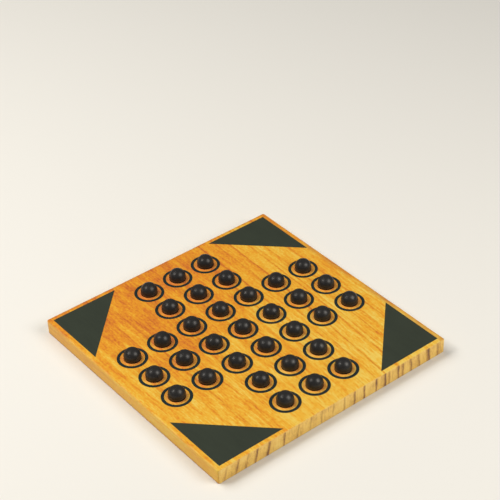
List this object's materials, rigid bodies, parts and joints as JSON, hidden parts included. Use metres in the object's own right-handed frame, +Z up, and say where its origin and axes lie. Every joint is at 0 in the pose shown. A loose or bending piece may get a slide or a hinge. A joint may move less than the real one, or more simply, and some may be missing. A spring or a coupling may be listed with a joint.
{
  "type": "marble solitaire board",
  "caption": "Square wooden solitaire board with a cross of round dimples ringed in dark ink, printed corner triangles, and a loose black marble resting in every dimple.",
  "frame": {"origin": "middle of the board's underside", "axes": "+X along the wood grain, +Y across it towards row 1, +Z up through the playing face"},
  "size_m": [0.225, 0.225, 0.0225],
  "materials": {
    "board_wood": "satin varnish over straight-grained light softwood",
    "printed_ink": "flat dark grey-green printing ink under the varnish",
    "marble_glass": "opaque black, satin polish"
  },
  "bodies": {
    "board": {"board": "board_wood", "hole_rings": "printed_ink", "corner_triangle_back_right": "printed_ink", "corner_triangle_back_left": "printed_ink", "corner_triangle_front_left": "printed_ink", "corner_triangle_front_right": "printed_ink"},
    "marble_r1_c3": {"marble_r1_c3": "marble_glass"},
    "marble_r1_c4": {"marble_r1_c4": "marble_glass"},
    "marble_r1_c5": {"marble_r1_c5": "marble_glass"},
    "marble_r2_c3": {"marble_r2_c3": "marble_glass"},
    "marble_r2_c4": {"marble_r2_c4": "marble_glass"},
    "marble_r2_c5": {"marble_r2_c5": "marble_glass"},
    "marble_r3_c1": {"marble_r3_c1": "marble_glass"},
    "marble_r3_c2": {"marble_r3_c2": "marble_glass"},
    "marble_r3_c3": {"marble_r3_c3": "marble_glass"},
    "marble_r3_c4": {"marble_r3_c4": "marble_glass"},
    "marble_r3_c5": {"marble_r3_c5": "marble_glass"},
    "marble_r3_c6": {"marble_r3_c6": "marble_glass"},
    "marble_r3_c7": {"marble_r3_c7": "marble_glass"},
    "marble_r4_c1": {"marble_r4_c1": "marble_glass"},
    "marble_r4_c2": {"marble_r4_c2": "marble_glass"},
    "marble_r4_c3": {"marble_r4_c3": "marble_glass"},
    "marble_r4_c4": {"marble_r4_c4": "marble_glass"},
    "marble_r4_c5": {"marble_r4_c5": "marble_glass"},
    "marble_r4_c6": {"marble_r4_c6": "marble_glass"},
    "marble_r4_c7": {"marble_r4_c7": "marble_glass"},
    "marble_r5_c1": {"marble_r5_c1": "marble_glass"},
    "marble_r5_c2": {"marble_r5_c2": "marble_glass"},
    "marble_r5_c3": {"marble_r5_c3": "marble_glass"},
    "marble_r5_c4": {"marble_r5_c4": "marble_glass"},
    "marble_r5_c5": {"marble_r5_c5": "marble_glass"},
    "marble_r5_c6": {"marble_r5_c6": "marble_glass"},
    "marble_r5_c7": {"marble_r5_c7": "marble_glass"},
    "marble_r6_c3": {"marble_r6_c3": "marble_glass"},
    "marble_r6_c4": {"marble_r6_c4": "marble_glass"},
    "marble_r6_c5": {"marble_r6_c5": "marble_glass"},
    "marble_r7_c3": {"marble_r7_c3": "marble_glass"},
    "marble_r7_c4": {"marble_r7_c4": "marble_glass"},
    "marble_r7_c5": {"marble_r7_c5": "marble_glass"}
  },
  "joints": [
    {"name": "lift_r1_c3", "type": "slide", "parent": "board", "child": "marble_r1_c3", "axis": [0, 0, 1], "range_m": [0, 0.03]},
    {"name": "lift_r1_c4", "type": "slide", "parent": "board", "child": "marble_r1_c4", "axis": [0, 0, 1], "range_m": [0, 0.03]},
    {"name": "lift_r1_c5", "type": "slide", "parent": "board", "child": "marble_r1_c5", "axis": [0, 0, 1], "range_m": [0, 0.03]},
    {"name": "lift_r2_c3", "type": "slide", "parent": "board", "child": "marble_r2_c3", "axis": [0, 0, 1], "range_m": [0, 0.03]},
    {"name": "lift_r2_c4", "type": "slide", "parent": "board", "child": "marble_r2_c4", "axis": [0, 0, 1], "range_m": [0, 0.03]},
    {"name": "lift_r2_c5", "type": "slide", "parent": "board", "child": "marble_r2_c5", "axis": [0, 0, 1], "range_m": [0, 0.03]},
    {"name": "lift_r3_c1", "type": "slide", "parent": "board", "child": "marble_r3_c1", "axis": [0, 0, 1], "range_m": [0, 0.03]},
    {"name": "lift_r3_c2", "type": "slide", "parent": "board", "child": "marble_r3_c2", "axis": [0, 0, 1], "range_m": [0, 0.03]},
    {"name": "lift_r3_c3", "type": "slide", "parent": "board", "child": "marble_r3_c3", "axis": [0, 0, 1], "range_m": [0, 0.03]},
    {"name": "lift_r3_c4", "type": "slide", "parent": "board", "child": "marble_r3_c4", "axis": [0, 0, 1], "range_m": [0, 0.03]},
    {"name": "lift_r3_c5", "type": "slide", "parent": "board", "child": "marble_r3_c5", "axis": [0, 0, 1], "range_m": [0, 0.03]},
    {"name": "lift_r3_c6", "type": "slide", "parent": "board", "child": "marble_r3_c6", "axis": [0, 0, 1], "range_m": [0, 0.03]},
    {"name": "lift_r3_c7", "type": "slide", "parent": "board", "child": "marble_r3_c7", "axis": [0, 0, 1], "range_m": [0, 0.03]},
    {"name": "lift_r4_c1", "type": "slide", "parent": "board", "child": "marble_r4_c1", "axis": [0, 0, 1], "range_m": [0, 0.03]},
    {"name": "lift_r4_c2", "type": "slide", "parent": "board", "child": "marble_r4_c2", "axis": [0, 0, 1], "range_m": [0, 0.03]},
    {"name": "lift_r4_c3", "type": "slide", "parent": "board", "child": "marble_r4_c3", "axis": [0, 0, 1], "range_m": [0, 0.03]},
    {"name": "lift_r4_c4", "type": "slide", "parent": "board", "child": "marble_r4_c4", "axis": [0, 0, 1], "range_m": [0, 0.03]},
    {"name": "lift_r4_c5", "type": "slide", "parent": "board", "child": "marble_r4_c5", "axis": [0, 0, 1], "range_m": [0, 0.03]},
    {"name": "lift_r4_c6", "type": "slide", "parent": "board", "child": "marble_r4_c6", "axis": [0, 0, 1], "range_m": [0, 0.03]},
    {"name": "lift_r4_c7", "type": "slide", "parent": "board", "child": "marble_r4_c7", "axis": [0, 0, 1], "range_m": [0, 0.03]},
    {"name": "lift_r5_c1", "type": "slide", "parent": "board", "child": "marble_r5_c1", "axis": [0, 0, 1], "range_m": [0, 0.03]},
    {"name": "lift_r5_c2", "type": "slide", "parent": "board", "child": "marble_r5_c2", "axis": [0, 0, 1], "range_m": [0, 0.03]},
    {"name": "lift_r5_c3", "type": "slide", "parent": "board", "child": "marble_r5_c3", "axis": [0, 0, 1], "range_m": [0, 0.03]},
    {"name": "lift_r5_c4", "type": "slide", "parent": "board", "child": "marble_r5_c4", "axis": [0, 0, 1], "range_m": [0, 0.03]},
    {"name": "lift_r5_c5", "type": "slide", "parent": "board", "child": "marble_r5_c5", "axis": [0, 0, 1], "range_m": [0, 0.03]},
    {"name": "lift_r5_c6", "type": "slide", "parent": "board", "child": "marble_r5_c6", "axis": [0, 0, 1], "range_m": [0, 0.03]},
    {"name": "lift_r5_c7", "type": "slide", "parent": "board", "child": "marble_r5_c7", "axis": [0, 0, 1], "range_m": [0, 0.03]},
    {"name": "lift_r6_c3", "type": "slide", "parent": "board", "child": "marble_r6_c3", "axis": [0, 0, 1], "range_m": [0, 0.03]},
    {"name": "lift_r6_c4", "type": "slide", "parent": "board", "child": "marble_r6_c4", "axis": [0, 0, 1], "range_m": [0, 0.03]},
    {"name": "lift_r6_c5", "type": "slide", "parent": "board", "child": "marble_r6_c5", "axis": [0, 0, 1], "range_m": [0, 0.03]},
    {"name": "lift_r7_c3", "type": "slide", "parent": "board", "child": "marble_r7_c3", "axis": [0, 0, 1], "range_m": [0, 0.03]},
    {"name": "lift_r7_c4", "type": "slide", "parent": "board", "child": "marble_r7_c4", "axis": [0, 0, 1], "range_m": [0, 0.03]},
    {"name": "lift_r7_c5", "type": "slide", "parent": "board", "child": "marble_r7_c5", "axis": [0, 0, 1], "range_m": [0, 0.03]}
  ]
}
